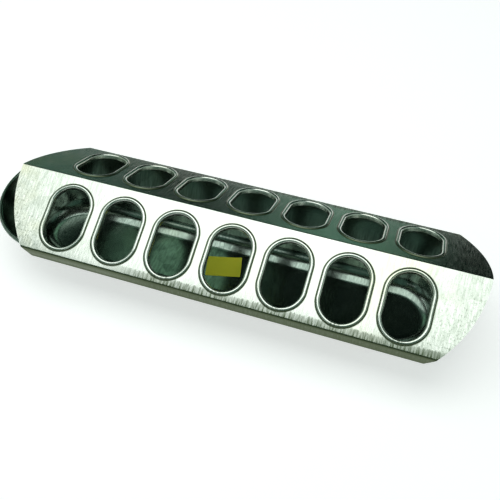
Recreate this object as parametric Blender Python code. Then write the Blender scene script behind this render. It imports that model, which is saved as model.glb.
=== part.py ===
"""A slide-top poultry ground feeder in galvanised sheet steel.

A pressed trough pan with a rolled rim carries a folded cover with two rows of feeding
holes. The cover lies on the rim, and its hems hook round below it, so the cover can
only slide along the trough, off either end, for filling and cleaning.

X runs along the trough and Z up. The origin is under the middle of the trough's floor.
Lengths are in metres, through MM.
"""
import math

import bmesh
import bpy

MM = 0.001

# Sheet steel that both pressings are made of
SHEET = 0.5 * MM

# Trough pan, outside sizes
TROUGH_LENGTH = 318.2 * MM
TROUGH_WIDTH = 94.1 * MM
TROUGH_HEIGHT = 36.7 * MM
FLOOR_WIDTH = 46.8 * MM
FLOOR_FILLET = 14.0 * MM
RIM_ROLL_RADIUS = 1.3 * MM
RIM_ROLL_END = math.radians(205)

# Cover, a blank with round ends that is punched, pressed and then folded
COVER_LENGTH = 300.0 * MM
ROOF_PITCH = math.radians(24.3)
END_ARC_RADIUS = 80.0 * MM
RIDGE_BEND_RADIUS = 1.4 * MM
EDGE_BEND_RADIUS = 1.0 * MM
HEM_HEIGHT = 7.2 * MM
HEM_BEND_RADIUS = 1.0 * MM
HEM_LIP = 3.4 * MM

# Feeding holes, a row of upright slots with round ends in each slope. Their sizes are
# taken at the crest of the bead, and the lands are the sheet left beyond it.
HOLE_PITCH = 35.9 * MM
HOLE_WIDTH = 27.8 * MM
LAND_BELOW_RIDGE = 5.9 * MM
LAND_ABOVE_EDGE = 4.1 * MM
LEAST_END_LAND = 6.0 * MM

# Pressed edge of a hole, a raised bead that turns down into a collar
BEAD_RISE_ANGLE = math.radians(55)
BEAD_FOOT_RADIUS = 0.55 * MM
BEAD_CREST_RADIUS = 1.2 * MM
COLLAR_ANGLE = math.radians(80)

# Running clearances between the cover and the trough
COVER_TO_RIM = 0.4 * MM
HEM_TO_RIM = 0.5 * MM
COLLAR_OVER_RIM = 0.3 * MM

# Where the cover stands along the trough at rest, from the middle
COVER_SHIFT = 9.0 * MM

# Smoothness of curves
TROUGH_END_STEPS = 20
HOLE_END_STEPS = 10
END_ARC_STEPS = 12
FILLET_STEPS = 6
ROLL_STEPS = 10
BEND_STEPS = 4
BEAD_FOOT_STEPS = 2
CREST_STEPS = 3

# Sizes that follow from the ones above
HALF_SHEET = SHEET / 2
RIM_OUTER_RADIUS = RIM_ROLL_RADIUS + HALF_SHEET
RIM_CENTRE_Y = TROUGH_WIDTH / 2 - RIM_OUTER_RADIUS
RIM_CENTRE_Z = TROUGH_HEIGHT - RIM_OUTER_RADIUS
TROUGH_STRAIGHT = (TROUGH_LENGTH - TROUGH_WIDTH) / 2
HEM_Y = TROUGH_WIDTH / 2 + HEM_TO_RIM + HALF_SHEET
EDGE_ANGLE = math.pi / 2 - ROOF_PITCH
ROOF_SLOPE = HEM_Y / math.cos(ROOF_PITCH)
ROOF_OVER_RIM = RIM_OUTER_RADIUS + COVER_TO_RIM + HALF_SHEET
RIDGE_Z = RIM_CENTRE_Z + ROOF_OVER_RIM / math.cos(ROOF_PITCH) + RIM_CENTRE_Y * math.tan(ROOF_PITCH)
HOLE_LENGTH = ROOF_SLOPE - LAND_BELOW_RIDGE - LAND_ABOVE_EDGE
BEAD_FOOT_OFFSET = (BEAD_FOOT_RADIUS + BEAD_CREST_RADIUS) * math.sin(BEAD_RISE_ANGLE)


def remove_objects():
    for item in list(bpy.data.objects):
        bpy.data.objects.remove(item, do_unlink=True)


def steel(name, colour, roughness):
    """Galvanised sheet, as a metal with the colour and roughness of one pressing."""
    finish = bpy.data.materials.new(name)
    finish.use_nodes = True
    shader = finish.node_tree.nodes["Principled BSDF"]
    shader.inputs["Base Color"].default_value = (*colour, 1.0)
    shader.inputs["Metallic"].default_value = 1.0
    shader.inputs["Roughness"].default_value = roughness
    return finish


def bend(radius, angle, steps):
    """A stretch of section that turns by an angle, downwards if it is positive."""
    return {"length": radius * abs(angle), "turn": angle, "steps": steps}


def flat(length):
    return {"length": length, "turn": 0.0, "steps": 1}


def bend_takes(radius, angle):
    """What a bend takes off each flat beside it, measured to where the flats would meet."""
    return radius * math.tan(angle / 2)


def follow(section, distance):
    """Where a bent section has got to, a distance along it: out, up, and its heading.

    The heading is the angle below the level. The section starts level at (0, 0).
    """
    out, up, heading = 0.0, 0.0, 0.0
    for piece in section:
        run = min(distance, piece["length"])
        turned = piece["turn"] * run / piece["length"]
        if piece["turn"]:
            radius = piece["length"] / piece["turn"]
            out += radius * (math.sin(heading + turned) - math.sin(heading))
            up += radius * (math.cos(heading + turned) - math.cos(heading))
        else:
            out += run * math.cos(heading)
            up -= run * math.sin(heading)
        heading += turned
        distance -= run
        if distance <= 0:
            break
    return out, up, heading


def stations(section):
    """Distances along a section at which its mesh gets a line of points."""
    marks, start = [0.0], 0.0
    for piece in section:
        for step in range(1, piece["steps"] + 1):
            marks.append(start + piece["length"] * step / piece["steps"])
        start += piece["length"]
    return marks


def slot_outline(half_straight, radius, steps):
    """Points round a slot with round ends, long way along the first axis, turning left."""
    points = []
    for end, first_angle in ((1, -90), (-1, 90)):
        for step in range(steps + 1):
            angle = math.radians(first_angle + 180 * step / steps)
            points.append((end * half_straight + radius * math.cos(angle), radius * math.sin(angle)))
    return points


def ring(mesh, points):
    return [mesh.verts.new(point) for point in points]


def bridge(mesh, first, second):
    """A band of faces between two rings with as many points each."""
    for i in range(len(first)):
        j = (i + 1) % len(first)
        mesh.faces.new((first[i], first[j], second[j], second[i]))


def edges_of(mesh, loop):
    """The edges round a closed loop of points, made where they are missing."""
    found = []
    for i, vertex in enumerate(loop):
        other = loop[(i + 1) % len(loop)]
        found.append(mesh.edges.get((vertex, other)) or mesh.edges.new((vertex, other)))
    return found


def sheet_object(name, mesh, finish):
    """Turn a middle surface into a named piece of sheet, smooth over its bends."""
    bmesh.ops.recalc_face_normals(mesh, faces=mesh.faces)
    data = bpy.data.meshes.new(name)
    mesh.to_mesh(data)
    mesh.free()
    data.shade_smooth()
    data.materials.append(finish)
    item = bpy.data.objects.new(name, data)
    bpy.context.scene.collection.objects.link(item)
    thickness = item.modifiers.new("sheet thickness", "SOLIDIFY")
    thickness.thickness = SHEET
    thickness.offset = 0.0
    thickness.use_even_offset = True
    thickness.use_quality_normals = True
    item.modifiers.new("flat where flat", "WEIGHTED_NORMAL")
    return item


def trough_section():
    """Half of the trough's section, from the middle of its floor out to the rolled rim.

    The wall is the line from the floor's corner that just touches the rim's roll.
    """
    corner_y = FLOOR_WIDTH / 2
    to_roll_y = RIM_CENTRE_Y - corner_y
    to_roll_z = RIM_CENTRE_Z - HALF_SHEET
    to_roll = math.hypot(to_roll_y, to_roll_z)
    wall_angle = math.atan2(to_roll_z, to_roll_y) + math.asin(RIM_ROLL_RADIUS / to_roll)
    wall_length = math.sqrt(to_roll ** 2 - RIM_ROLL_RADIUS ** 2)
    fillet_takes = bend_takes(FLOOR_FILLET, wall_angle)
    return [
        flat(corner_y - fillet_takes),
        bend(FLOOR_FILLET, -wall_angle, FILLET_STEPS),
        flat(wall_length - fillet_takes),
        bend(RIM_ROLL_RADIUS, wall_angle + RIM_ROLL_END, ROLL_STEPS),
    ]


def build_trough(finish):
    """The trough's section carried round a track with two straights and two half circles."""
    mesh = bmesh.new()
    section = trough_section()
    rings = []
    for distance in stations(section)[1:]:
        out, up, _ = follow(section, distance)
        track = slot_outline(TROUGH_STRAIGHT, out, TROUGH_END_STEPS)
        rings.append(ring(mesh, [(x, y, HALF_SHEET + up) for x, y in track]))
    mesh.faces.new(rings[0])
    for inner, outer in zip(rings, rings[1:]):
        bridge(mesh, inner, outer)
    return sheet_object("trough_pan", mesh, finish)


def cover_section():
    """Half of the cover's section, from the ridge down a slope, its hem and its lip."""
    ridge_takes = bend_takes(RIDGE_BEND_RADIUS, ROOF_PITCH)
    edge_takes = bend_takes(EDGE_BEND_RADIUS, EDGE_ANGLE)
    return [
        bend(RIDGE_BEND_RADIUS, ROOF_PITCH, BEND_STEPS),
        flat(ROOF_SLOPE - ridge_takes - edge_takes),
        bend(EDGE_BEND_RADIUS, EDGE_ANGLE, BEND_STEPS),
        flat(HEM_HEIGHT - edge_takes - HEM_BEND_RADIUS),
        bend(HEM_BEND_RADIUS, math.pi / 2, BEND_STEPS),
        flat(HEM_LIP - HEM_BEND_RADIUS),
    ]


def hole_edge_section():
    """The pressed edge of a hole, from the flat slope over the bead and down the collar.

    The collar ends just above the rim's roll, so that the holes can pass over the
    trough's round ends when the cover is drawn off.
    """
    bead = [
        bend(BEAD_FOOT_RADIUS, -BEAD_RISE_ANGLE, BEAD_FOOT_STEPS),
        bend(BEAD_CREST_RADIUS, BEAD_RISE_ANGLE + COLLAR_ANGLE, CREST_STEPS),
    ]
    inward, height, _ = follow(bead, sum(piece["length"] for piece in bead))
    foot_down_slope = ROOF_SLOPE - LAND_ABOVE_EDGE + BEAD_FOOT_OFFSET
    lowest_z = (
        RIDGE_Z
        - (foot_down_slope - inward) * math.sin(ROOF_PITCH)
        + height * math.cos(ROOF_PITCH)
    )
    spare = lowest_z - TROUGH_HEIGHT - COLLAR_OVER_RIM
    return bead + [flat(spare / math.sin(COLLAR_ANGLE - ROOF_PITCH))]


def blank_end(down):
    """Half the blank's length at a distance from the ridge, on its round end."""
    return COVER_LENGTH / 2 - END_ARC_RADIUS + math.sqrt(END_ARC_RADIUS ** 2 - down ** 2)


def hole_places():
    """Middles of a row's holes: one at the middle, and as many each way as fit."""
    reach = blank_end(ROOF_SLOPE) - LEAST_END_LAND - HOLE_WIDTH / 2
    each_way = int(reach / HOLE_PITCH)
    return [place * HOLE_PITCH for place in range(-each_way, each_way + 1)]


def add_hole(mesh, side, middle_x, middle_down):
    """Press one hole into the flat blank, and return the ring at its bead's foot."""
    section = hole_edge_section()
    half_straight = (HOLE_LENGTH - HOLE_WIDTH) / 2
    foot_radius = HOLE_WIDTH / 2 + BEAD_FOOT_OFFSET
    rings = []
    for distance in stations(section):
        inward, height, _ = follow(section, distance)
        outline = slot_outline(half_straight, foot_radius - inward, HOLE_END_STEPS)
        rings.append(
            ring(mesh, [(middle_x + y, side * (middle_down + x), height) for x, y in outline])
        )
    for outer, inner in zip(rings, rings[1:]):
        bridge(mesh, outer, inner)
    return rings[0]


def add_slope(mesh, side, section, ridge_ends):
    """One half of the blank: the bends and hem as long strips, and the slope with its holes."""
    marks = stations(section)
    slope_place = section[0]["steps"]
    left, right = ridge_ends
    for place, (above, below) in enumerate(zip(marks, marks[1:])):
        steps = END_ARC_STEPS if place == slope_place else 1
        right_side, left_side = [right], [left]
        for step in range(1, steps + 1):
            down = above + (below - above) * step / steps
            right_side.append(mesh.verts.new((blank_end(down), side * down, 0.0)))
            left_side.append(mesh.verts.new((-blank_end(down), side * down, 0.0)))
        outline = right_side + left_side[::-1]
        if place == slope_place:
            boundary = edges_of(mesh, outline)
            slope_ends = below + bend_takes(EDGE_BEND_RADIUS, EDGE_ANGLE)
            middle_down = slope_ends - LAND_ABOVE_EDGE - HOLE_LENGTH / 2
            for middle_x in hole_places():
                foot = add_hole(mesh, side, middle_x, middle_down)
                boundary += edges_of(mesh, foot)
            bmesh.ops.triangle_fill(mesh, edges=boundary, use_beauty=True, normal=(0, 0, 1))
        else:
            mesh.faces.new(outline)
        left, right = left_side[-1], right_side[-1]


def fold(mesh, section):
    """Fold the flat blank into the roof and its hems, bending about the ridge."""
    for vertex in mesh.verts:
        side = -1 if vertex.co.y < 0 else 1
        out, up, heading = follow(section, abs(vertex.co.y))
        height = vertex.co.z
        vertex.co.y = side * (out + height * math.sin(heading))
        vertex.co.z = up + height * math.cos(heading)


def build_cover(finish):
    """The blank is laid out and pressed flat, then folded, as on the real cover."""
    mesh = bmesh.new()
    section = cover_section()
    half = COVER_LENGTH / 2
    ridge_ends = ring(mesh, [(-half, 0.0, 0.0), (half, 0.0, 0.0)])
    for side in (-1, 1):
        add_slope(mesh, side, section, ridge_ends)
    fold(mesh, section)
    cover = sheet_object("sliding_cover", mesh, finish)
    crown = RIDGE_BEND_RADIUS * (1 / math.cos(ROOF_PITCH) - 1)
    slide = bpy.data.objects.new("cover_slide", None)
    slide.location = (COVER_SHIFT, 0.0, TROUGH_HEIGHT)
    bpy.context.scene.collection.objects.link(slide)
    cover.parent = slide
    cover.location.z = RIDGE_Z - crown - TROUGH_HEIGHT


def main():
    remove_objects()
    build_trough(steel("trough_steel", (0.42, 0.47, 0.44), 0.38))
    build_cover(steel("cover_steel", (0.56, 0.60, 0.57), 0.32))


main()
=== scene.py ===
# %% [markdown]
# # A slide-top poultry feeder in galvanised sheet
# The feeder has two pieces of thin sheet: a trough pressed from one blank, and a folded
# cover with two rows of feeding holes that slides along the trough's rim. The packed
# model gives both bodies their place, and this lesson dresses each with a finer piece
# of the same shape. Lengths are in metres, and MM turns millimetres into them.

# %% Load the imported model
import math

import bmesh
import bpy
from mathutils import Matrix, Vector


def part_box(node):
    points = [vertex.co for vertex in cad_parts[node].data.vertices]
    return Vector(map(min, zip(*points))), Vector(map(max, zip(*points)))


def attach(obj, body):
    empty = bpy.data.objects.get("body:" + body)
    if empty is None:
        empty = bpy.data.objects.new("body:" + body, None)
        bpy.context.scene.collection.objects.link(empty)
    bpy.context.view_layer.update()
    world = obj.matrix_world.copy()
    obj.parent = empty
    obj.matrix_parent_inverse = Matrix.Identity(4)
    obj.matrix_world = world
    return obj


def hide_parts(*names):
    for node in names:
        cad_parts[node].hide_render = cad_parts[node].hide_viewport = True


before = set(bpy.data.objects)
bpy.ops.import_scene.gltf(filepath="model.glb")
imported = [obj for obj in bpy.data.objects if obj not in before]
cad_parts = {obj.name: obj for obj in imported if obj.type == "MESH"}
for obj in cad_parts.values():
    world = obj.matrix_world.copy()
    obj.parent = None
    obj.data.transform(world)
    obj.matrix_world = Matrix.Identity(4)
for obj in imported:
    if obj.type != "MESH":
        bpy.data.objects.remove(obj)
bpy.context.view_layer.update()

MM = 0.001
print("nodes:", sorted(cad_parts))

# %% [markdown]
# ## The camera
# The photograph looks down at the feeder by about 51 degrees and from about 19 degrees
# to the right of its front. These values were fitted to the cover's straight edges, its
# round ends and its fourteen holes. A camera looks along its own minus Z, so its matrix
# is built from the direction that it looks in, with a third of a degree of roll.

# %% Place the camera
CAMERA_PLACE = Vector((0.10066, -0.25381, 0.35559))
CAMERA_AIM = Vector((0.01481, 0.0, 0.02886))
CAMERA_ROLL = math.radians(-0.307)
SENSOR_WIDTH = 36.0
FOCAL_LENGTH = 47.57


def add_camera():
    data = bpy.data.cameras.new("camera")
    data.sensor_width = SENSOR_WIDTH
    data.lens = FOCAL_LENGTH
    camera = bpy.data.objects.new("camera", data)
    bpy.context.scene.collection.objects.link(camera)
    look = (CAMERA_AIM - CAMERA_PLACE).to_track_quat("-Z", "Y").to_matrix()
    camera.matrix_world = Matrix.Translation(CAMERA_PLACE) @ (
        look @ Matrix.Rotation(CAMERA_ROLL, 3, "Z")
    ).to_4x4()
    bpy.context.scene.camera = camera
    return camera


camera = add_camera()
print(camera.name, "to its aim:", round((CAMERA_AIM - CAMERA_PLACE).length / MM), "mm")

# %% [markdown]
# ## Working in edit mode
# The pieces are made with the same operators as by hand. Each acts on what is selected,
# so two small helpers come first: one leaves nothing selected before a new primitive is
# added, and one picks vertices, edges or faces of the mesh in edit mode by a test.

# %% Selecting in code


def start_clean():
    if bpy.context.object and bpy.context.object.mode != "OBJECT":
        bpy.ops.object.mode_set(mode="OBJECT")
    bpy.ops.object.select_all(action="DESELECT")


def pick(kind, test):
    """Select only the parts of one kind, such as "verts", that pass a test."""
    mode = {"verts": "VERT", "edges": "EDGE", "faces": "FACE"}[kind]
    bpy.ops.mesh.select_mode(type=mode)
    bpy.ops.mesh.select_all(action="DESELECT")
    data = bpy.context.object.data
    mesh = bmesh.from_edit_mesh(data)
    for part in getattr(mesh, kind):
        if test(part):
            part.select_set(True)
    mesh.select_flush(True)
    bmesh.update_edit_mesh(data)


# %% [markdown]
# ## Bent sheet, as a section
# Both pieces are thin sheet, so each is drawn as its middle surface and gets its
# thickness at the end. A section could be a list of points, but then a new radius would
# mean new points. So it is a list of flats and bends, as a sheet metal worker gives it.
# Following it gives the points, and adding up its lengths gives the flat blank.

# %% Sections of flats and bends


def bend(radius, degrees, steps):
    turn = math.radians(degrees)
    return {"length": radius * abs(turn), "turn": turn, "steps": steps}


def flat(length):
    return {"length": length, "turn": 0.0, "steps": 1}


def section_points(section):
    """Points along a section: out, up. It starts level, and a positive turn goes down."""
    out, up, heading = 0.0, 0.0, 0.0
    points = [(out, up)]
    for piece in section:
        for _ in range(piece["steps"]):
            turn = piece["turn"] / piece["steps"]
            step = piece["length"] / piece["steps"]
            if turn:
                radius = step / turn
                out += radius * (math.sin(heading + turn) - math.sin(heading))
                up += radius * (math.cos(heading + turn) - math.cos(heading))
            else:
                out += step * math.cos(heading)
                up -= step * math.sin(heading)
            heading += turn
            points.append((out, up))
    return points


def takes(radius, degrees):
    """What a bend takes off each flat beside it."""
    return radius * math.tan(math.radians(degrees) / 2)


print("a quarter turn of 1 mm radius is", round(bend(1.0, 90, 1)["length"], 2), "mm of sheet")

# %% [markdown]
# ## The cover's blank
# The real cover starts as a flat blank with round ends. It could be modelled as it stands,
# but holes are pressed more easily into a flat sheet, and ends that are round on the blank
# get their true curve by folding. A circle with the radius of an end is pulled apart into
# two half circles, and its long sides are cut away. The blank is then cut across at each
# line where the sheet will turn, and just beside each bend, so that its flats stay flat.

# %% Sizes of the cover
SHEET = 0.5 * MM
COVER_LENGTH = 300 * MM
END_RADIUS = 80 * MM
ROOF_PITCH = 24.3
ROOF_SLOPE = 52.447 * MM
RIDGE_RADIUS = 1.4 * MM
EDGE_RADIUS = 1.0 * MM
HEM_HEIGHT = 7.2 * MM
HEM_LIP = 3.4 * MM
COVER_SHIFT = 9.0 * MM
END_POINTS = 160
BEND_STEPS = 6
BESIDE_BEND = 0.45 * MM
NEAR = SHEET / 100

EDGE_ANGLE = 90 - ROOF_PITCH
edge_takes = takes(EDGE_RADIUS, EDGE_ANGLE)
cover_section = [
    bend(RIDGE_RADIUS, ROOF_PITCH, BEND_STEPS),
    flat(ROOF_SLOPE - takes(RIDGE_RADIUS, ROOF_PITCH) - edge_takes),
    bend(EDGE_RADIUS, EDGE_ANGLE, BEND_STEPS),
    flat(HEM_HEIGHT - edge_takes - EDGE_RADIUS),
    bend(EDGE_RADIUS, 90, BEND_STEPS),
    flat(HEM_LIP - EDGE_RADIUS),
]
half_blank = sum(piece["length"] for piece in cover_section)
slope_starts = cover_section[0]["length"]
slope_ends = slope_starts + cover_section[1]["length"]
edge_bend = cover_section[2]["length"]
print("the blank is", round(2 * half_blank / MM, 1), "mm wide")

# %% Lines across the blank, and how far the sheet turns at each


def fold_lines(section):
    """Pairs of a distance from the ridge and a turn in radians, innermost first."""
    lines, start = [], 0.0
    for piece in section:
        if piece["turn"]:
            for step in range(piece["steps"] + 1):
                share = 0.5 if step in (0, piece["steps"]) else 1.0
                where = start + piece["length"] * step / piece["steps"]
                lines.append((where, share * piece["turn"] / piece["steps"]))
        start += piece["length"]
    return lines


def support_lines(section):
    """Lines just beside each bend. They keep the shading of the flats flat."""
    lines, start = [], 0.0
    for piece in section:
        if not piece["turn"]:
            lines.append(start + BESIDE_BEND)
            lines.append(start + piece["length"] - BESIDE_BEND)
        start += piece["length"]
    return lines[:-1]


print("the sheet turns at", len(fold_lines(cover_section)), "lines on each side of the ridge")

# %% Cut the blank
CUT_THRESHOLD = 0.001 * MM


def cut_across(where, drop=""):
    """Cut the mesh along X at a place in Y, and drop what is beyond or before the cut."""
    bpy.ops.mesh.select_all(action="SELECT")
    bpy.ops.mesh.bisect(
        plane_co=(0, where, 0),
        plane_no=(0, 1, 0),
        clear_outer=drop == "beyond",
        clear_inner=drop == "before",
        threshold=CUT_THRESHOLD,
    )


def make_blank():
    start_clean()
    bpy.ops.mesh.primitive_circle_add(vertices=END_POINTS, radius=END_RADIUS, fill_type="NGON")
    blank = bpy.context.object
    blank.name = "cover_sheet"
    bpy.ops.object.mode_set(mode="EDIT")
    apart = COVER_LENGTH / 2 - END_RADIUS
    for side in (1, -1):
        pick("verts", lambda vert: side * vert.co.x > MM)
        bpy.ops.transform.translate(value=(side * apart, 0, 0))
    cut_across(half_blank, drop="beyond")
    cut_across(-half_blank, drop="before")
    places = {round(line, 7) for line, _ in fold_lines(cover_section)}
    places |= {round(line, 7) for line in support_lines(cover_section)}
    for place in sorted(places):
        for side in (1, -1) if place else (1,):
            cut_across(side * place)
    bpy.ops.object.mode_set(mode="OBJECT")
    print("blank:", len(blank.data.polygons), "strips")
    return blank


blank = make_blank()

# %% [markdown]
# ## One pressed hole
# Each feeding hole is punched, and its edge is pressed up into a bead and down into a
# short collar, so that no cut edge meets a bird's neck. A boolean could cut the hole, but
# would leave its edge sharp. By hand the pressed edge is a row of insets: each goes a
# little further in and a little up or down, along the section of the bead.
# A circle turned by half a step has no vertex on its middle line, so its two halves can
# be pulled apart into a slot with straight sides.

# %% Sizes of a hole
HOLE_PITCH = 35.9 * MM
HOLE_WIDTH = 27.8 * MM
LAND_BELOW_RIDGE = 5.9 * MM
LAND_ABOVE_EDGE = 4.1 * MM
BEAD_RISE = 55
FOOT_RADIUS = 0.55 * MM
FOOT_STEPS = 4
CREST_RADIUS = 1.2 * MM
CREST_STEPS = 9
COLLAR_ANGLE = 80
COLLAR_FLAT = 1.79 * MM
HOLE_POINTS = 64
LANDING = 0.5 * MM

HOLE_LENGTH = ROOF_SLOPE - LAND_BELOW_RIDGE - LAND_ABOVE_EDGE
BEAD_WIDTH = (FOOT_RADIUS + CREST_RADIUS) * math.sin(math.radians(BEAD_RISE))
hole_middle = slope_ends + edge_takes - LAND_ABOVE_EDGE - HOLE_LENGTH / 2
bead_section = [
    bend(FOOT_RADIUS, -BEAD_RISE, FOOT_STEPS),
    bend(CREST_RADIUS, BEAD_RISE + COLLAR_ANGLE, CREST_STEPS),
    flat(COLLAR_FLAT),
]
print("a hole is", round(HOLE_WIDTH / MM, 1), "by", round(HOLE_LENGTH / MM, 1), "mm")

# %% Mark the painted shade round a hole
# These stored values darken the zinc as painted shade: fully in the crease, a tenth down the
# collar.
PAINTED_SHADE = "painted_shade"
CREASE_WIDTH = 0.8 * MM
COLLAR_STARTS = 2.4 * MM
COLLAR_SHADE = 0.1


def mark_bead_shade(hole):
    """Store where shade is painted: in the crease at the bead's foot, and faintly down the collar.
    """
    marks = hole.data.attributes.new(PAINTED_SHADE, "FLOAT", "POINT")
    half_straight = (HOLE_LENGTH - HOLE_WIDTH) / 2
    foot = HOLE_WIDTH / 2 + BEAD_WIDTH
    for vert, mark in zip(hole.data.vertices, marks.data):
        past = max(abs(vert.co.y) - half_straight, 0.0)
        inward = foot - math.hypot(vert.co.x, past)
        in_crease = -LANDING / 2 < inward < CREASE_WIDTH
        mark.value = 1.0 if in_crease else COLLAR_SHADE if inward > COLLAR_STARTS else 0.0
    print("grime on", sum(mark.value > 0 for mark in marks.data), "vertices of a hole")


# %% Press one hole


def press_hole():
    start_clean()
    bpy.ops.mesh.primitive_circle_add(
        vertices=HOLE_POINTS,
        radius=HOLE_WIDTH / 2 + BEAD_WIDTH + LANDING,
        fill_type="NGON",
        rotation=(0, 0, math.pi / HOLE_POINTS),
    )
    hole = bpy.context.object
    hole.name = "pressed_hole"
    bpy.ops.object.transform_apply(location=False, rotation=True, scale=False)
    bpy.ops.object.mode_set(mode="EDIT")
    for side in (1, -1):
        pick("verts", lambda vert: side * vert.co.y > 0)
        bpy.ops.transform.translate(value=(0, side * (HOLE_LENGTH - HOLE_WIDTH) / 2, 0))
    pick("faces", lambda face: True)
    bpy.ops.mesh.inset(thickness=LANDING, depth=0)
    points = section_points(bead_section)
    for (out, up), (next_out, next_up) in zip(points, points[1:]):
        bpy.ops.mesh.inset(thickness=next_out - out, depth=next_up - up)
    bpy.ops.mesh.delete(type="FACE")
    bpy.ops.object.mode_set(mode="OBJECT")
    mark_bead_shade(hole)
    return hole


pressed_hole = press_hole()
print("one hole has", len(pressed_hole.data.polygons), "faces")

# %% Copy the hole into two rows
HOLES_IN_A_ROW = 7


def copy_holes(hole):
    """Seven holes in each of two rows, each a copy of the first with its own mesh."""
    copies = []
    for row in (1, -1):
        for place in range(HOLES_IN_A_ROW):
            start_clean()
            hole.select_set(True)
            bpy.context.view_layer.objects.active = hole
            bpy.ops.object.duplicate(linked=False)
            along = (place - (HOLES_IN_A_ROW - 1) / 2) * HOLE_PITCH
            bpy.ops.transform.translate(value=(along, row * hole_middle, 0))
            copies.append(bpy.context.object)
    bpy.data.objects.remove(hole)
    return copies


holes = copy_holes(pressed_hole)
print("holes:", len(holes))

# %% [markdown]
# ## Joining the holes to the blank
# The real sheet runs into each bead without a seam, so the rings have to become part of
# the blank. The two slopes of the blank lose their faces. Their outlines and the outer
# rings of the holes stay, and the fill operator lays faces between them, round the holes.

# %% Fill the slopes round the holes
flat_starts, flat_ends = slope_starts + BESIDE_BEND, slope_ends - BESIDE_BEND


def is_round_slope(edge, side):
    """Whether an edge without a second face bounds the flat part of one slope."""
    ends = [side * vert.co.y for vert in edge.verts]
    heights = [abs(vert.co.z) for vert in edge.verts]
    in_slope = flat_starts - NEAR < min(ends) and max(ends) < flat_ends + NEAR
    return in_slope and max(heights) < NEAR


def join_holes(blank, holes):
    start_clean()
    for hole in holes:
        hole.select_set(True)
    blank.select_set(True)
    bpy.context.view_layer.objects.active = blank
    bpy.ops.object.join()
    bpy.ops.object.mode_set(mode="EDIT")
    for side in (1, -1):
        pick(
            "faces",
            lambda face: side * face.calc_center_median().y > flat_starts
            and face.calc_area() > (flat_ends - flat_starts) * END_RADIUS,
        )
        bpy.ops.mesh.delete(type="ONLY_FACE")
        pick("edges", lambda edge: edge.is_wire or edge.is_boundary and is_round_slope(edge, side))
        bpy.ops.mesh.fill(use_beauty=True)
    bpy.ops.object.mode_set(mode="OBJECT")


join_holes(blank, holes)
print("cover, flat:", len(blank.data.polygons), "faces")

# %% [markdown]
# ## Folding
# The sheet is folded from the outside in: first the lip, then the hem, then the slope at
# the ridge. The bend tool needs a window, so each bend is a row of narrow strips, and at
# each line everything beyond it turns a few degrees. The flat blank is kept as a UV map
# first, so that the grain of the sheet follows it through the folds. Where each vertex
# lay on the blank decides what turns, as folded sheet may lie inside of the line already.

# %% Painted shade on the hems, laid out on the flat blank
# The hems are darkened as painted shade, a little less on their upper half.
UPPER_HEM_SHADE = 0.85


def mark_hem_shade(cover):
    """Full painted shade from the slope's edge outwards, and a little less high on the hem."""
    marks = cover.data.attributes[PAINTED_SHADE]
    for vert, mark in zip(cover.data.vertices, marks.data):
        past_edge = abs(vert.co.y) - slope_ends
        if past_edge > NEAR:
            upper_hem = BESIDE_BEND < past_edge - edge_bend < HEM_HEIGHT / 2
            mark.value = UPPER_HEM_SHADE if upper_hem else 1.0


mark_hem_shade(blank)
print("grime on the hems starts", round(slope_ends / MM, 1), "mm from the ridge")

# %% Keep the blank as a UV map
GRAIN_UV = "flat blank"
UNITS_PER_MM = 0.01


def keep_blank_uv(piece):
    """One unit of the map is a tenth of a metre of the blank."""
    scale = UNITS_PER_MM / MM
    layer = piece.data.uv_layers.new(name=GRAIN_UV)
    for loop in piece.data.loops:
        place = piece.data.vertices[loop.vertex_index].co
        layer.data[loop.index].uv = (place.x * scale, place.y * scale)


keep_blank_uv(blank)
print("maps:", [layer.name for layer in blank.data.uv_layers])

# %% Fold the cover


def fold_cover(cover):
    start_clean()
    cover.select_set(True)
    bpy.context.view_layer.objects.active = cover
    laid_flat = [vert.co.y for vert in cover.data.vertices]
    bpy.ops.object.mode_set(mode="EDIT")
    for line, turn in reversed(fold_lines(cover_section)):
        for side in (1, -1):
            pick("verts", lambda vert: side * laid_flat[vert.index] > line + NEAR)
            bpy.ops.transform.rotate(
                value=side * turn, orient_axis="X", center_override=(0, side * line, 0)
            )
    bpy.ops.object.mode_set(mode="OBJECT")


fold_cover(blank)
print("folded:", [round(size / MM, 1) for size in blank.dimensions])

# %% [markdown]
# ## Thickness and place
# Sheet has one thickness all over, so Solidify gives the middle surface its half millimetre
# of steel. It is applied, because the exported piece is a plain mesh. Shading by angle
# keeps the bends smooth and the cut edges sharp.

# %% Finish a piece of sheet
SMOOTH_BELOW = math.radians(40)


def finish_sheet(piece, lift, along=0.0):
    start_clean()
    piece.select_set(True)
    bpy.context.view_layer.objects.active = piece
    bpy.ops.transform.translate(value=(along, 0, lift))
    bpy.ops.object.transform_apply(location=True, rotation=True, scale=True)
    bpy.ops.object.mode_set(mode="EDIT")
    bpy.ops.mesh.select_all(action="SELECT")
    bpy.ops.mesh.normals_make_consistent(inside=False)
    bpy.ops.object.mode_set(mode="OBJECT")
    thickness = piece.modifiers.new("sheet thickness", "SOLIDIFY")
    thickness.thickness = SHEET
    thickness.offset = 0.0
    thickness.use_even_offset = True
    thickness.use_quality_normals = True
    bpy.ops.object.modifier_apply(modifier=thickness.name)
    bpy.ops.object.shade_smooth_by_angle(angle=SMOOTH_BELOW)


def print_boxes(piece, low, high):
    """Two corners of the piece's box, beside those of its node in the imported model, in mm."""
    made = piece.bound_box[0], piece.bound_box[6]
    for name, corners in ((piece.name, made), ("CAD", (low, high))):
        print(name, [[round(place / MM, 2) for place in corner] for corner in corners])


low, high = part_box("sliding_cover")
cover = blank
finish_sheet(cover, lift=high.z - SHEET / 2, along=COVER_SHIFT)
print_boxes(cover, low, high)

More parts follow.
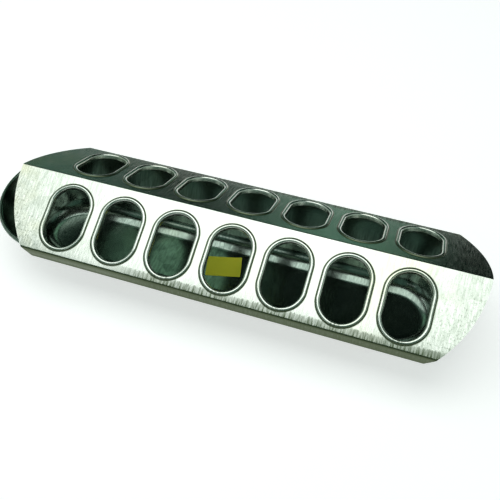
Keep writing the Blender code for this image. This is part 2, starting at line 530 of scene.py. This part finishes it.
# %% [markdown]
# ## The trough
# The trough is drawn in one press stroke: flat floor, round corner, sloping wall, and a
# rim that is rolled over outwards. It has no fold and no seam, so it isn't made from a
# blank as the cover is. Its section is a chain of points, made by extruding one vertex. It
# is spun half a turn round the middle of one end, drawn along to the other end, spun again
# and drawn back. Merging by distance closes the seam and the two poles. Spin lists its
# faces in another order each time the script runs, so they are put in order afterwards.

# %% Sizes of the trough
END_PLACE = 112.05 * MM
FLOOR_HALF = 15.40 * MM
CORNER_RADIUS = 14.0 * MM
CORNER_STEPS = 16
WALL_PITCH = 59.46
WALL_LENGTH = 33.29 * MM
RIM_RADIUS = 1.3 * MM
RIM_PAST_LEVEL = 205
RIM_STEPS = 20
trough_section = [
    flat(FLOOR_HALF),
    bend(CORNER_RADIUS, -WALL_PITCH, CORNER_STEPS),
    flat(WALL_LENGTH),
    bend(RIM_RADIUS, WALL_PITCH + RIM_PAST_LEVEL, RIM_STEPS),
]
print("the section takes", round(sum(part["length"] for part in trough_section) / MM), "mm")

# %% Draw the trough's section


def draw_section(name, section):
    """A chain of vertices from the trough's middle line out to the front."""
    start_clean()
    bpy.ops.mesh.primitive_plane_add(size=MM, location=(END_PLACE, 0, 0))
    piece = bpy.context.object
    piece.name = name
    bpy.ops.object.transform_apply(location=True)
    bpy.ops.object.mode_set(mode="EDIT")
    bpy.ops.mesh.select_all(action="SELECT")
    bpy.ops.mesh.merge(type="CENTER")
    points = section_points(section)
    for (out, up), (next_out, next_up) in zip(points, points[1:]):
        step = (0, out - next_out, next_up - up)
        bpy.ops.mesh.extrude_region_move(TRANSFORM_OT_translate={"value": step})
    return piece


trough = draw_section("trough_shell", trough_section)
print("points on the section:", len(bmesh.from_edit_mesh(trough.data).verts))

# %% Run the section round the trough
TROUGH_SPIN_STEPS = 40


def put_in_order(mesh):
    """Sort edges and faces by their vertices, so that every run gives the same mesh."""
    mesh.verts.index_update()
    for parts in (mesh.edges, mesh.faces):
        in_order = sorted(parts, key=lambda part: sorted(vert.index for vert in part.verts))
        parts.sort(key={part: place for place, part in enumerate(in_order)}.get)
        parts.index_update()


def run_round(piece):
    """Carry the section round the trough's plan: two half turns and two straights."""
    bpy.ops.mesh.select_all(action="SELECT")
    for end in (1, -1):
        bpy.ops.mesh.spin(
            steps=TROUGH_SPIN_STEPS,
            angle=math.pi,
            center=(end * END_PLACE, 0, 0),
            axis=(0, 0, -1),
        )
        step = (-2 * end * END_PLACE, 0, 0)
        bpy.ops.mesh.extrude_region_move(TRANSFORM_OT_translate={"value": step})
    bpy.ops.mesh.select_all(action="SELECT")
    bpy.ops.mesh.remove_doubles(threshold=NEAR)
    bpy.ops.mesh.normals_make_consistent(inside=False)
    put_in_order(bmesh.from_edit_mesh(piece.data))
    bpy.ops.object.mode_set(mode="OBJECT")


run_round(trough)
keep_blank_uv(trough)
finish_sheet(trough, lift=SHEET / 2)
low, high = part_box("trough_pan")
print_boxes(trough, low, high)
print("trough:", len(trough.data.polygons), "faces")

# %% [markdown]
# ## The label
# A small yellow paper label lies on the trough's floor, under the fourth hole of the
# front row. It is left without any print. One corner has come up a little, so the label is
# a sheet of small squares, which can curl, and not a plain box.

# %% Lay the label on the floor
LABEL_SIZE = (23.7 * MM, 16.4 * MM)
LABEL_PLACE = (-5.0 * MM, 2.6 * MM)
LABEL_TURN = math.radians(14)
LABEL_CORNER = 0.8 * MM
LABEL_GAP = 0.01 * MM
PAPER = 0.12 * MM
LABEL_CUTS = 11
CURL_STARTS = 0.72
CURL_LIFT = 9 * MM


def lay_label():
    start_clean()
    bpy.ops.mesh.primitive_plane_add(size=1.0)
    label = bpy.context.object
    label.name = "floor_label"
    label.scale = (*LABEL_SIZE, 1.0)
    bpy.ops.object.transform_apply(scale=True)
    bpy.ops.object.mode_set(mode="EDIT")
    pick("verts", lambda vert: True)
    bpy.ops.mesh.bevel(offset=LABEL_CORNER, segments=4, affect="VERTICES")
    for part in range(1, LABEL_CUTS):
        for axis in (0, 1):
            place, normal = [0, 0, 0], [0, 0, 0]
            place[axis] = LABEL_SIZE[axis] * (part / LABEL_CUTS - 0.5)
            normal[axis] = 1
            bpy.ops.mesh.select_all(action="SELECT")
            bpy.ops.mesh.bisect(plane_co=place, plane_no=normal, threshold=CUT_THRESHOLD)
    mesh = bmesh.from_edit_mesh(label.data)
    for vert in mesh.verts:
        toward = vert.co.x / LABEL_SIZE[0] + vert.co.y / LABEL_SIZE[1]
        vert.co.z += CURL_LIFT * max(toward - CURL_STARTS, 0.0) ** 2
    bmesh.update_edit_mesh(label.data)
    bpy.ops.object.mode_set(mode="OBJECT")
    label.rotation_euler.z = LABEL_TURN
    label.location = (*LABEL_PLACE, SHEET + LABEL_GAP + PAPER / 2)
    bpy.ops.object.transform_apply(location=True, rotation=True)
    thickness = label.modifiers.new("paper thickness", "SOLIDIFY")
    thickness.thickness = PAPER
    thickness.offset = 0.0
    bpy.ops.object.modifier_apply(modifier=thickness.name)
    bpy.ops.object.shade_smooth_by_angle(angle=SMOOTH_BELOW)
    return label


label = lay_label()
print("label:", len(label.data.polygons), "faces")

# %% [markdown]
# ## Adding nodes
# One function adds a node, sets what it is given and links what comes from other nodes.
# Colours are written as sRGB hex values, as they look on a screen, and turned linear.

# %% Node and colour helpers


def linear(hex_colour, alpha=1.0):
    channels = [int(hex_colour[i : i + 2], 16) / 255 for i in (1, 3, 5)]
    return (*(c / 12.92 if c <= 0.04045 else ((c + 0.055) / 1.055) ** 2.4 for c in channels), alpha)


def add_node(tree, kind, inputs=None, **settings):
    new = tree.nodes.new(kind)
    for name, value in settings.items():
        setattr(new, name, value)
    for socket, value in (inputs or {}).items():
        if isinstance(value, bpy.types.NodeSocket):
            tree.links.new(value, new.inputs[socket])
        else:
            new.inputs[socket].default_value = value
    return new


def new_material(name):
    made = bpy.data.materials.new(name)
    made.use_nodes = True
    tree = made.node_tree
    return made, tree, tree.nodes["Principled BSDF"]


print("half grey, turned linear:", round(linear("#808080")[0], 3))

# %% [markdown]
# ## Skin-passed galvanised sheet
# The cover is hot-dip galvanised steel that was rolled once more, which leaves a fine
# straight grain across the feeder. Such a grain smears a reflection sideways, along the
# ridge, so the metal is anisotropic, and its tangent comes from the flat blank. To the eye
# it is a silky light grey with faint patches, which are the zinc's crystals, and yellowish
# clouds of old stain. Noise and cells on the blank's own map give all of this, and follow
# the folds. The real grain is finer than a pixel, so it is drawn 1 mm apart to show at all.

# %% Grain on the flat blank


def per_size(size_mm):
    """The scale at which one step of a pattern is as long as a size on the blank."""
    return 1 / (size_mm * UNITS_PER_MM)


def sheet_grain(tree, uv, streak_mm):
    """Noise that is drawn out down the slopes, as the rolls draw the zinc."""
    across, down = map(per_size, streak_mm)
    place = add_node(tree, "ShaderNodeMapping", {"Vector": uv, "Scale": (across, down, 1.0)})
    return add_node(
        tree,
        "ShaderNodeTexNoise",
        {"Vector": place.outputs["Vector"], "Scale": 1.0, "Detail": 3.0, "Roughness": 0.6},
    ).outputs["Fac"]


print("a grain of 1 mm has a scale of", per_size(1.0))

# %% Crystals, clouds and stain
CLOUD_MM = 62.5
CRYSTALS_SHOW = 0.25
CLOUDS_SHOW = 0.5
LIGHTER_RANGE = (0.6, 1.15)
STAIN_RANGE = (0.5, 0.7)
STAIN_AT_MOST = 0.55


def zinc_colour(tree, uv, streaks, crystal_mm, light, dark, stain):
    """Faint crystals and clouds, from dark to light, and a stain where the clouds are thick."""
    crystals = add_node(
        tree,
        "ShaderNodeTexVoronoi",
        {"Vector": uv, "Scale": per_size(crystal_mm), "Randomness": 1.0},
    ).outputs["Color"]
    crystal = add_node(tree, "ShaderNodeSeparateColor", {"Color": crystals}).outputs["Red"]
    clouds = add_node(
        tree,
        "ShaderNodeTexNoise",
        {"Vector": uv, "Scale": per_size(CLOUD_MM), "Detail": 5.0, "Roughness": 0.6},
    ).outputs["Fac"]
    tone = streaks
    for pattern, shows in ((crystal, CRYSTALS_SHOW), (clouds, CLOUDS_SHOW)):
        tone = add_node(
            tree, "ShaderNodeMath", {0: pattern, 1: shows, 2: tone}, operation="MULTIPLY_ADD"
        ).outputs[0]
    zinc = linear(dark)
    for pattern, (starts, ends), most, colour in (
        (tone, LIGHTER_RANGE, 1.0, light),
        (clouds, STAIN_RANGE, STAIN_AT_MOST, stain),
    ):
        share = add_node(
            tree,
            "ShaderNodeMapRange",
            {"Value": pattern, "From Min": starts, "From Max": ends, "To Max": most},
        ).outputs["Result"]
        zinc = add_node(
            tree, "ShaderNodeMix", {0: share, 6: zinc, 7: linear(colour)}, data_type="RGBA"
        ).outputs[2]
    return zinc


# %% Galvanised sheet
STREAK_RANGE = (0.3, 0.7)
ROUGHER, SMOOTHER = 1.35, 0.75


def galvanised(name, light, dark, stain, roughness, anisotropy, streak_mm, crystal_mm, relief):
    """Zinc with a rolled grain, whose lighter streaks are also a little smoother."""
    made, tree, shader = new_material(name)
    uv = add_node(tree, "ShaderNodeUVMap", uv_map=GRAIN_UV).outputs["UV"]
    streaks = sheet_grain(tree, uv, streak_mm)
    zinc = zinc_colour(tree, uv, streaks, crystal_mm, light, dark, stain)
    rough = add_node(
        tree,
        "ShaderNodeMapRange",
        {
            "Value": streaks,
            "From Min": STREAK_RANGE[0],
            "From Max": STREAK_RANGE[1],
            "To Min": roughness * ROUGHER,
            "To Max": roughness * SMOOTHER,
        },
    ).outputs["Result"]
    bump = add_node(
        tree, "ShaderNodeBump", {"Height": streaks, "Strength": 1.0, "Distance": relief}
    ).outputs["Normal"]
    tangent = add_node(tree, "ShaderNodeTangent", direction_type="UV_MAP", uv_map=GRAIN_UV)
    tree.links.new(zinc, shader.inputs["Base Color"])
    tree.links.new(rough, shader.inputs["Roughness"])
    tree.links.new(bump, shader.inputs["Normal"])
    tree.links.new(tangent.outputs[0], shader.inputs["Tangent"])
    shader.inputs["Metallic"].default_value = 1.0
    shader.inputs["Anisotropic"].default_value = anisotropy
    return made, tree, shader, zinc, rough, streaks


cover_zinc, tree, shader, zinc, rough, streaks = galvanised(
    "galvanised skin passed sheet",
    light="#c8cdc5",
    dark="#a9b1a5",
    stain="#bfbe98",
    roughness=0.18,
    anisotropy=0.7,
    streak_mm=(1.0, 9.0),
    crystal_mm=6.0,
    relief=0.015 * MM,
)
print("the cover's finish:", cover_zinc.name)

# %% [markdown]
# ## Painted shade and light on the slopes, and pits
# A band of painted shade lies beside the hem, dark and dull, with a ragged, comb-like
# edge. It fades out towards the left end. Near both ends the zinc also has fine dark pits,
# and its middle is lightened as a painted highlight. Such marks could be drawn in an image,
# but masks on the flat blank's own map need no picture and follow the fold. They mix
# another zinc over the first one. Their sizes are in millimetres on the blank.

# %% The band of painted shade
# The band of painted shade is placed from this far inside the slope's edge.
SHADE_BAND_MM = 4.2
RAGGED_BY_MM = 5.0
BAND_EDGE_MM = 0.8
BAND_DEEPENS_MM = 4.5
EDGE_SHOWS = 0.6
DEEPER_SHOWS = 0.4
LEFT_FADE_MM = (-75, -45)
TEETH_RANGE = (0.38, 0.6)
BETWEEN_TEETH = 0.35
band_from_ridge = slope_ends / MM - SHADE_BAND_MM


def painted_shade_band(tree, along, from_ridge, streaks):
    """Where shade is painted: up to the fold, combed by the grain, and fading to the left."""
    ragged = add_node(
        tree,
        "ShaderNodeMath",
        {0: streaks, 1: RAGGED_BY_MM * UNITS_PER_MM, 2: from_ridge},
        operation="MULTIPLY_ADD",
    ).outputs[0]
    starts = band_from_ridge + RAGGED_BY_MM / 2
    edge, deeper, left = (
        add_node(
            tree,
            "ShaderNodeMapRange",
            {
                "Value": place,
                "From Min": low * UNITS_PER_MM,
                "From Max": high * UNITS_PER_MM,
                "To Max": most,
            },
        ).outputs["Result"]
        for place, low, high, most in (
            (ragged, starts, starts + BAND_EDGE_MM, EDGE_SHOWS),
            (ragged, starts, starts + BAND_DEEPENS_MM, DEEPER_SHOWS),
            (along, *LEFT_FADE_MM, 1.0),
        )
    )
    teeth = add_node(
        tree,
        "ShaderNodeMapRange",
        {
            "Value": streaks,
            "From Min": TEETH_RANGE[0],
            "From Max": TEETH_RANGE[1],
            "To Min": BETWEEN_TEETH,
        },
    ).outputs["Result"]
    band = edge
    for part, operation in ((deeper, "ADD"), (teeth, "MULTIPLY"), (left, "MULTIPLY")):
        band = add_node(tree, "ShaderNodeMath", {0: band, 1: part}, operation=operation).outputs[0]
    return band


print("the band starts", round(band_from_ridge, 1), "mm from the ridge")

# %% Pits near both ends
PIT_MM = 10 / 7
PIT_RANGE = (0.52, 0.68)
PITTED_ENDS_MM = (95, 150)
PITTED_SLOPE_MM = (5, 50)
PITS_AT_MOST = 0.8
PITS_BY_THE_RIDGE = 0.3


def end_pits(tree, uv, from_middle, from_ridge):
    """Fine dark pits, seven to a centimetre, which grow dense near both ends and the hem."""
    speckle = add_node(
        tree,
        "ShaderNodeTexNoise",
        {"Vector": uv, "Scale": per_size(PIT_MM), "Detail": 3.0, "Roughness": 0.7},
    ).outputs["Fac"]
    pits = add_node(
        tree,
        "ShaderNodeMapRange",
        {"Value": speckle, "From Min": PIT_RANGE[0], "From Max": PIT_RANGE[1]},
    ).outputs["Result"]
    for place, (low, high), least, most in (
        (from_middle, PITTED_ENDS_MM, 0.0, PITS_AT_MOST),
        (from_ridge, PITTED_SLOPE_MM, PITS_BY_THE_RIDGE, 1.0),
    ):
        share = add_node(
            tree,
            "ShaderNodeMapRange",
            {
                "Value": place,
                "From Min": low * UNITS_PER_MM,
                "From Max": high * UNITS_PER_MM,
                "To Min": least,
                "To Max": most,
            },
        ).outputs["Result"]
        pits = add_node(
            tree, "ShaderNodeMath", {0: pits, 1: share}, operation="MULTIPLY"
        ).outputs[0]
    return pits


print("the pits are", round(PIT_MM, 2), "mm apart")

# %% Lay the painted light and the pits over the zinc
# The middle of each slope is lightened as a painted highlight, fading out towards the ends.
HIGHLIGHT_MM = (60, 125)
HIGHLIGHT_AT_MOST = 0.6


def add_painted_light_and_pits(tree, zinc, rough, streaks, painted_highlight, pits_and_painted_shade, dulled):
    """A painted highlight of lighter zinc in the middle, and over it dark, duller zinc: painted
    shade on the band, and the pits.
    """
    uv = add_node(tree, "ShaderNodeUVMap", uv_map=GRAIN_UV).outputs["UV"]
    along, across, _ = add_node(tree, "ShaderNodeSeparateXYZ", {"Vector": uv}).outputs
    from_middle, from_ridge = (
        add_node(tree, "ShaderNodeMath", {0: place}, operation="ABSOLUTE").outputs[0]
        for place in (along, across)
    )
    band = painted_shade_band(tree, along, from_ridge, streaks)
    pits = end_pits(tree, uv, from_middle, from_ridge)
    pits_and_shade_band = add_node(tree, "ShaderNodeMath", {0: band, 1: pits}, operation="MAXIMUM").outputs[0]
    highlighted = add_node(
        tree,
        "ShaderNodeMapRange",
        {
            "Value": from_middle,
            "From Min": HIGHLIGHT_MM[0] * UNITS_PER_MM,
            "From Max": HIGHLIGHT_MM[1] * UNITS_PER_MM,
            "To Min": HIGHLIGHT_AT_MOST,
            "To Max": 0.0,
        },
    ).outputs["Result"]
    for share, colour in ((highlighted, painted_highlight), (pits_and_shade_band, pits_and_painted_shade)):
        zinc = add_node(
            tree, "ShaderNodeMix", {0: share, 6: zinc, 7: linear(colour)}, data_type="RGBA"
        ).outputs[2]
    rough = add_node(
        tree, "ShaderNodeMath", {0: pits_and_shade_band, 1: dulled, 2: rough}, operation="MULTIPLY_ADD"
    ).outputs[0]
    return zinc, rough


# The lighter colour is a painted highlight; the dark one is painted shade on the band and the
# colour of the pits.
zinc, rough = add_painted_light_and_pits(tree, zinc, rough, streaks, painted_highlight="#ced2cb", pits_and_painted_shade="#4e5a44", dulled=0.1)
print("nodes in the cover's finish:", len(tree.nodes))

# %% [markdown]
# ## Painted shade
# Painted shade darkens the crease round each bead, which draws the thin dark line round
# each hole, a little of each collar, and the upright hems. A shader could look for creases
# by itself, but would darken every inner corner. So the vertices carry the painted shade as
# an attribute, which was stored while the sheet was flat and lies just where the sheet turns.

# %% Painted shade in the creases and on the hems
PAINTED_SHADE_DULLS = 0.25


def add_painted_shade(tree, shader, zinc, rough, painted_shade):
    """Darken and dull the zinc as painted shade, by the attribute of its vertices."""
    where = add_node(tree, "ShaderNodeAttribute", attribute_name=PAINTED_SHADE).outputs["Fac"]
    shaded = add_node(
        tree, "ShaderNodeMix", {0: where, 6: zinc, 7: linear(painted_shade)}, data_type="RGBA"
    ).outputs[2]
    dull = add_node(
        tree, "ShaderNodeMath", {0: where, 1: PAINTED_SHADE_DULLS, 2: rough}, operation="MULTIPLY_ADD"
    ).outputs[0]
    tree.links.new(shaded, shader.inputs["Base Color"])
    tree.links.new(dull, shader.inputs["Roughness"])


# The olive colour is painted shade, mixed in by the stored attribute.
add_painted_shade(tree, shader, zinc, rough, painted_shade="#566048")
print("nodes with the grime:", len(tree.nodes))

# %% [markdown]
# ## Drawn galvanised sheet
# The trough is galvanised too. Drawing it in a press has burnished its zinc, so it mirrors
# a little more clearly than the cover. Its colours are darker and greener than the cover's,
# which is painted shade for its place under the cover. There it has mostly shade to mirror,
# and the eye sees a dark floor with a few bright lines along its rounded corner.

# %% The trough's finish
# The darker, greener colours are painted shade.
shaded_trough_zinc, *_ = galvanised(
    "galvanised drawn sheet in painted shade",
    light="#8e9c92",
    dark="#5c6a62",
    stain="#76836e",
    roughness=0.16,
    anisotropy=0.5,
    streak_mm=(1.2, 6.0),
    crystal_mm=7.0,
    relief=0.01 * MM,
)
print("the trough's finish:", shaded_trough_zinc.name)

# %% [markdown]
# ## The label's paper
# The label is coated paper in a greenish yellow. It is smooth but has no gloss, so it
# looks flat and even beside the metal. It has one plain colour, which is set on the
# shader itself.

# %% The label's paper


def paper(name, colour):
    made, tree, shader = new_material(name)
    shader.inputs["Base Color"].default_value = linear(colour)
    shader.inputs["Roughness"].default_value = 0.6
    return made


label_paper = paper("coated yellow paper", "#dcd923")
print("the label's finish:", label_paper.name)

# %% [markdown]
# ## Dressing the pieces
# Each piece gets its finish and moves with its body. The two sheets take the place of the
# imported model's plain ones, and the label, which that model doesn't have, rides on the
# trough.

# %% Dress the pieces
for piece, finish, node, body, slot in (
    (cover, cover_zinc, "sliding_cover", "cover", "cover_galvanised"),
    (trough, shaded_trough_zinc, "trough_pan", "trough", "trough_galvanised"),
):
    piece.data.materials.clear()
    piece.data.materials.append(finish)
    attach(piece, body)
    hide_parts(node)
label.data.materials.append(label_paper)
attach(label, "trough")
for piece in (cover, trough, label):
    print(piece.name, "is", piece.active_material.name)

# %% [markdown]
# ## The studio
# Polished zinc has hardly a colour of its own and shows what stands round it, so the
# studio is built to be mirrored as in the photograph. First comes a white round floor. It
# glows a little for the camera and in reflections only, so that it looks white and still
# keeps the feeder's shadow. More light on it would do the same, but would also wash out
# the metal.

# %% White floor
PAPER_RADIUS = 0.5
ROUND_POINTS = 96
FLOOR_DROP = 0.2 * MM
FLOOR_GLOW = 0.6


def matt(name, colour):
    """A finish without any gloss, so that it only scatters light."""
    made, tree, shader = new_material(name)
    shader.inputs["Base Color"].default_value = linear(colour)
    shader.inputs["Roughness"].default_value = 0.9
    shader.inputs["Specular IOR Level"].default_value = 0.0
    return made, tree, shader


def white_paper():
    """White to the eye and in reflections, and still with a shadow from the lamps."""
    made, tree, shader = matt("white floor paper", "#d8d8d8")
    rays = add_node(tree, "ShaderNodeLightPath").outputs
    seen = rays["Is Camera Ray"]
    for kind in ("Is Glossy Ray", "Is Transmission Ray"):
        seen = add_node(
            tree, "ShaderNodeMath", {0: seen, 1: rays[kind]}, operation="ADD"
        ).outputs[0]
    glow = add_node(
        tree, "ShaderNodeMath", {0: seen, 1: FLOOR_GLOW}, operation="MULTIPLY"
    ).outputs[0]
    shader.inputs["Emission Color"].default_value = (1.0, 1.0, 1.0, 1.0)
    tree.links.new(glow, shader.inputs["Emission Strength"])
    return made


def add_round(name, radius, height, finish):
    start_clean()
    bpy.ops.mesh.primitive_circle_add(
        vertices=ROUND_POINTS, radius=radius, fill_type="NGON", location=(0, 0, height)
    )
    bpy.ops.object.transform_apply(location=True)
    made = bpy.context.object
    made.name = name
    made.data.materials.append(finish)
    return made


white_floor = add_round("white floor", PAPER_RADIUS, -FLOOR_DROP, white_paper())
print(white_floor.name, "of", white_floor.active_material.name)

# %% [markdown]
# ## The drum of cloth
# Round the white floor lies a ring of grey green cloth, which turns up into a low drum.
# Cloth is quite matt, so it gives the metal soft, even tones to mirror. It is pale at both
# sides and darker in front. At the back, light and dark widths hang side by side, because
# the rear slope mirrors just that strip of the horizon. They are stops of one colour ramp.

# %% Cloth
FLOOR_RADIUS = 0.8
CLOTH_TURNS = (0.3, 0.6)
DRUM_SIDES = "#e3ebe6"
DRUM_FRONT = "#9fb0a7"
DRUM_BACK = (
    (-0.65, "#7c998e"),
    (-0.45, "#75988c"),
    (-0.30, "#34463f"),
    (-0.20, "#3b4f47"),
    (-0.04, "#94bcab"),
    (0.09, "#94bcab"),
    (0.20, "#1b2421"),
    (0.40, "#29352f"),
    (0.65, "#7c998e"),
)


def back_widths(tree, along):
    """A ramp with a stop for each width of cloth, by its place along X in metres."""
    across = add_node(
        tree,
        "ShaderNodeMapRange",
        {"Value": along, "From Min": -FLOOR_RADIUS, "From Max": FLOOR_RADIUS},
    ).outputs["Result"]
    ramp = add_node(tree, "ShaderNodeValToRGB", {"Fac": across})
    stops = ramp.color_ramp.elements
    for place, tone in DRUM_BACK:
        stops.new((place / FLOOR_RADIUS + 1) / 2).color = linear(tone)
    for ready_made in (stops[-1], stops[0]):
        stops.remove(ready_made)
    return ramp.outputs["Color"]


def drum_cloth():
    """Grey green cloth, hung so that its back has a light middle and shade beside it."""
    made, tree, shader = matt("grey green cloth", DRUM_FRONT)
    place = add_node(tree, "ShaderNodeTexCoord").outputs["Object"]
    along, to_back, _ = add_node(tree, "ShaderNodeSeparateXYZ", {"Vector": place}).outputs
    cloth = linear(DRUM_SIDES)
    for way, colour in ((-1, linear(DRUM_FRONT)), (1, back_widths(tree, along))):
        starts, ends = (way * turn for turn in CLOTH_TURNS)
        share = add_node(
            tree, "ShaderNodeMapRange", {"Value": to_back, "From Min": starts, "From Max": ends}
        ).outputs["Result"]
        cloth = add_node(
            tree, "ShaderNodeMix", {0: share, 6: cloth, 7: colour}, data_type="RGBA"
        ).outputs[2]
    tree.links.new(cloth, shader.inputs["Base Color"])
    return made


cloth = drum_cloth()
print(cloth.name, "in", len(DRUM_BACK), "widths at the back")

# %% Ring and drum
DRUM_HEIGHT = 0.3


def add_drum(finish):
    start_clean()
    bpy.ops.mesh.primitive_cylinder_add(
        vertices=ROUND_POINTS,
        radius=FLOOR_RADIUS,
        depth=DRUM_HEIGHT,
        end_fill_type="NOTHING",
        location=(0, 0, DRUM_HEIGHT / 2 - FLOOR_DROP),
    )
    bpy.ops.object.transform_apply(location=True)
    drum = bpy.context.object
    drum.name = "drum"
    drum.data.materials.append(finish)
    return drum


outer_floor = add_round("outer floor", FLOOR_RADIUS, -2 * FLOOR_DROP, cloth)
drum = add_drum(cloth)
print("drum:", round(2 * FLOOR_RADIUS, 2), "m across and", DRUM_HEIGHT, "m high")

# %% [markdown]
# ## Lamps and room
# A wide soft box hangs overhead, where the front slope mirrors it into the camera and
# turns nearly white. A small low one in front draws the bright line on the trough's
# rounded corner. A faint green panel high at the back is what the trough's floor mirrors
# under the third hole. Each is a lamp and not a glowing board, because lamps render with
# less noise. Its power follows from its area and from how bright its surface should look.
# The room itself is dim, and lighter to both sides.

# %% Lamps


def add_soft_box(name, place, size, radiance, tilt=0.0, tint="#ffffff"):
    """A lamp whose surface looks equally bright whatever its size."""
    data = bpy.data.lights.new(name, "AREA")
    data.shape = "RECTANGLE"
    data.size, data.size_y = size
    data.energy = radiance * math.pi * size[0] * size[1]
    data.color = linear(tint)[:3]
    lamp = bpy.data.objects.new(name, data)
    lamp.location = place
    lamp.rotation_euler.x = math.radians(tilt)
    bpy.context.scene.collection.objects.link(lamp)


add_soft_box("overhead soft box", place=(-0.20, 0.06, 1.05), size=(1.25, 0.8), radiance=2.05)
add_soft_box(
    "low front box", place=(-0.27, -0.85, 0.80), size=(0.4, 0.17), radiance=1.35, tilt=47
)
add_soft_box(
    "green back panel",
    place=(-0.42, 0.74, 1.0),
    size=(0.30, 0.32),
    radiance=0.65,
    tilt=-36,
    tint="#b4e6c6",
)
print("lamps:", {lamp.name: round(lamp.energy, 2) for lamp in bpy.data.lights})

# %% Room
BESIDE_RANGE = (0.5, 0.8)
BEHIND_RANGE = (0.47, 0.52)


def add_room(low, high, beside, behind):
    """A grey green room, lighter to both sides and dark high up at the back."""
    world = bpy.data.worlds.new("grey green room")
    bpy.context.scene.world = world
    world.use_nodes = True
    tree = world.node_tree
    background = tree.nodes["Background"]
    direction = add_node(tree, "ShaderNodeTexCoord").outputs["Generated"]
    along, to_back, up = add_node(tree, "ShaderNodeSeparateXYZ", {"Vector": direction}).outputs
    aside = add_node(tree, "ShaderNodeMath", {0: along}, operation="ABSOLUTE").outputs[0]
    room = add_node(
        tree, "ShaderNodeMix", {0: up, 6: linear(low), 7: linear(high)}, data_type="RGBA"
    ).outputs[2]
    for turned, (starts, ends), colour in (
        (aside, BESIDE_RANGE, beside),
        (to_back, BEHIND_RANGE, behind),
    ):
        share = add_node(
            tree, "ShaderNodeMapRange", {"Value": turned, "From Min": starts, "From Max": ends}
        ).outputs["Result"]
        room = add_node(
            tree, "ShaderNodeMix", {0: share, 6: room, 7: linear(colour)}, data_type="RGBA"
        ).outputs[2]
    tree.links.new(room, background.inputs["Color"])
    background.inputs["Strength"].default_value = 1.0
    return world


room = add_room(low="#4a6258", high="#64857a", beside="#b2c4bb", behind="#1b2521")
bpy.context.scene.view_settings.view_transform = "Standard"
print("world:", room.name)
